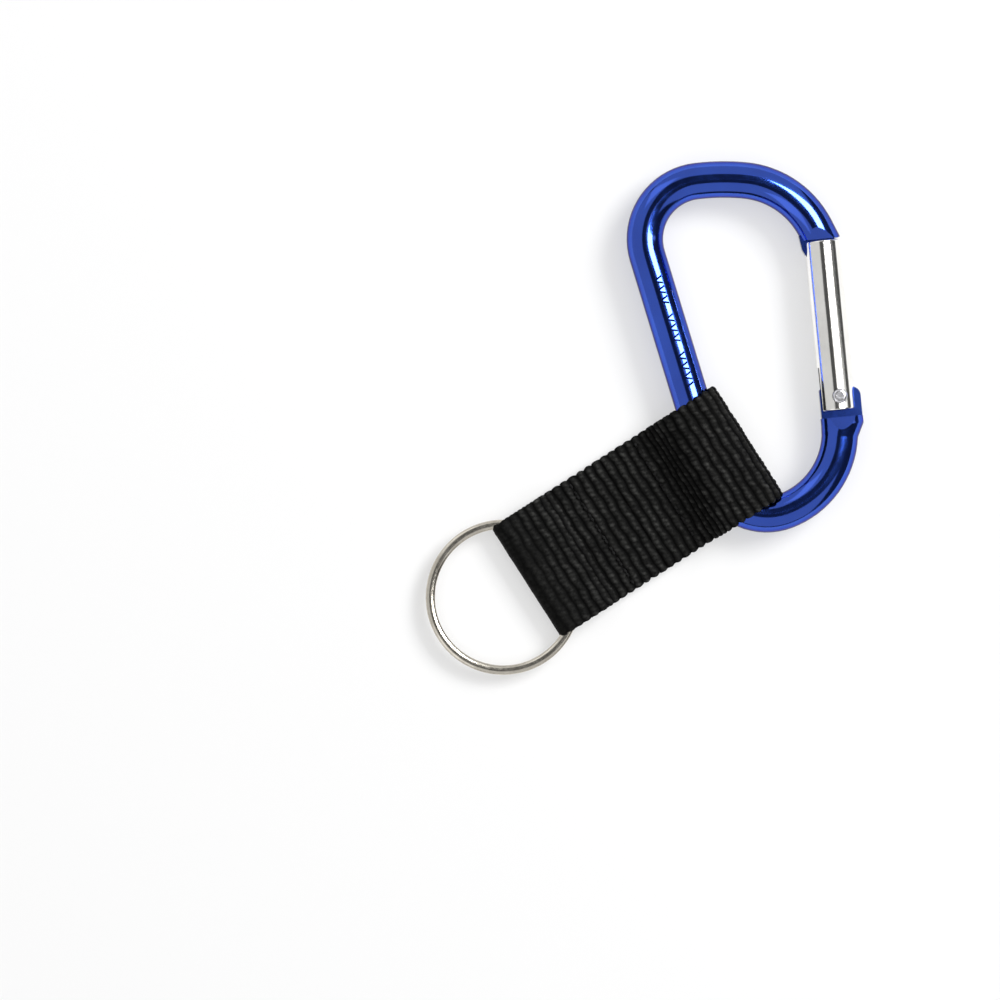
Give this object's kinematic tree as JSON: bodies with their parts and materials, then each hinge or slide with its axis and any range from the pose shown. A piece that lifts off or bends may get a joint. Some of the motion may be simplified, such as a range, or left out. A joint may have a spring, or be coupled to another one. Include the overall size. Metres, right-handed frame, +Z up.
{
  "type": "carabiner keyring",
  "caption": "D-shaped accessory carabiner with a sprung gate, carrying a split key ring on a folded webbing strap.",
  "frame": {"origin": "middle of the footprint, on the surface that the keyring lies on", "axes": "+Y along the closed gate, from its rivet to the carabiner's nose; +Z up, across the flat keyring; +X from the spine to the gate"},
  "size_m": [0.0742, 0.0806, 0.0087],
  "materials": {
    "blue_anodised": "bright dipped, blue anodised",
    "polished_aluminium": "polished",
    "rivet": "polished",
    "spring_steel": "drawn wire",
    "webbing": "ribbed black nylon webbing",
    "thread": "bonded nylon thread",
    "nickel_plate": "nickel plated steel"
  },
  "bodies": {
    "carabiner": {"carabiner_body": "blue_anodised", "webbing_rod_loop": "webbing"},
    "gate": {"gate": "polished_aluminium", "gate_rivet": "rivet", "gate_spring": "spring_steel"},
    "spring_pin": {"spring_pin": "spring_steel"},
    "strap": {"webbing_middle": "webbing", "seam_at_rod": "thread", "seam_at_ring": "thread"},
    "ring_loop": {"webbing_ring_loop": "webbing"},
    "split_ring": {"split_ring": "nickel_plate"}
  },
  "joints": [
    {"name": "gate_hinge", "type": "hinge", "parent": "carabiner", "child": "gate", "pos_m": [0.03352, -0.00002, 0.00435], "axis": [0, 0, 1], "range_deg": [0, 30], "stiffness_Nm_per_rad": 0.012, "springref_deg": -34.38},
    {"name": "spring_pin_slide", "type": "slide", "parent": "gate", "child": "spring_pin", "axis": [0, 1, 0], "range_m": [0, 0.0016], "deforming": ["gate_spring"]},
    {"name": "strap_flex_at_rod", "type": "hinge", "parent": "carabiner", "child": "strap", "pos_m": [0.00605, -0.012, 0.0012], "axis": [-0.4555, 0.8902, 0], "range_deg": [-70, 70], "stiffness_Nm_per_rad": 0.003},
    {"name": "strap_flex_at_ring", "type": "hinge", "parent": "strap", "child": "ring_loop", "pos_m": [-0.00962, -0.02001, 0.0012], "axis": [-0.4555, 0.8902, 0], "range_deg": [-70, 70], "stiffness_Nm_per_rad": 0.003},
    {"name": "split_ring_spin", "type": "hinge", "parent": "ring_loop", "child": "split_ring", "pos_m": [-0.0244, -0.02757, 0.00228], "axis": [0, 0, 1], "continuous": true}
  ],
  "couplings": [
    {"joint": "spring_pin_slide", "follows": "gate_hinge", "m_per_rad": 0.0029}
  ]
}
